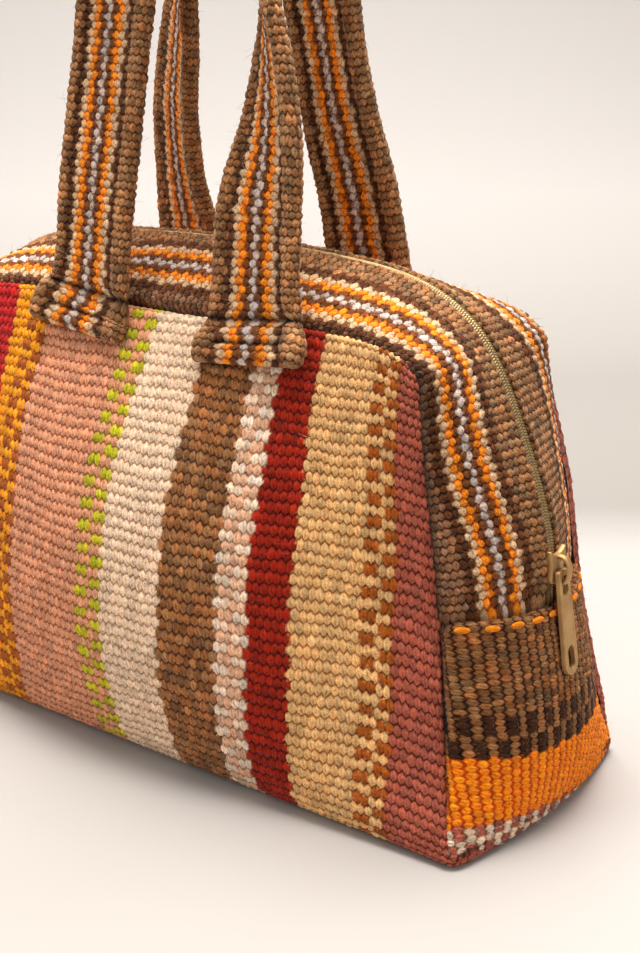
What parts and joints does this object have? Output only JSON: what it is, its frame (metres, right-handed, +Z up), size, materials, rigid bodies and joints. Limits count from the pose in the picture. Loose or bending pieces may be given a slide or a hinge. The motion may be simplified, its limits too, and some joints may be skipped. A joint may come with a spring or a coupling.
{
  "type": "wool handbag",
  "caption": "Soft zip-top handbag of striped hand-woven wool with a pillow body, end panels, a zip between woven belts, a swinging zip pull and upright strap handles.",
  "frame": {"origin": "middle of the base, on the floor that the bag stands on", "axes": "+X along the zip towards the end with the slider, -Y out of the front panel, +Z up"},
  "size_m": [0.334, 0.1552, 0.3876],
  "materials": {
    "body_wool": "warp-faced wool, striped and matte",
    "end_wool": "warp-faced wool, banded and matte",
    "belt_wool": "narrow striped wool belt, matte",
    "strap_wool": "striped wool strap with padded edges, matte",
    "zip_coil": "dull antique brass coil",
    "slider_brass": "antique brass, satin",
    "pull_brass": "antique brass, satin"
  },
  "bodies": {
    "bag": {"body_cloth": "body_wool", "end_panel_right": "end_wool", "end_panel_left": "end_wool", "zip_belt_front": "belt_wool", "zip_belt_back": "belt_wool", "zip_chain": "zip_coil", "zip_slider": "slider_brass", "handle_front": "strap_wool", "handle_back": "strap_wool"},
    "pull": {"zip_pull": "pull_brass"}
  },
  "joints": [
    {"name": "pull_swing", "type": "hinge", "parent": "bag", "child": "pull", "pos_m": [0.16, 0, 0.0956], "axis": [0, -1, 0], "range_deg": [0, 165]}
  ]
}
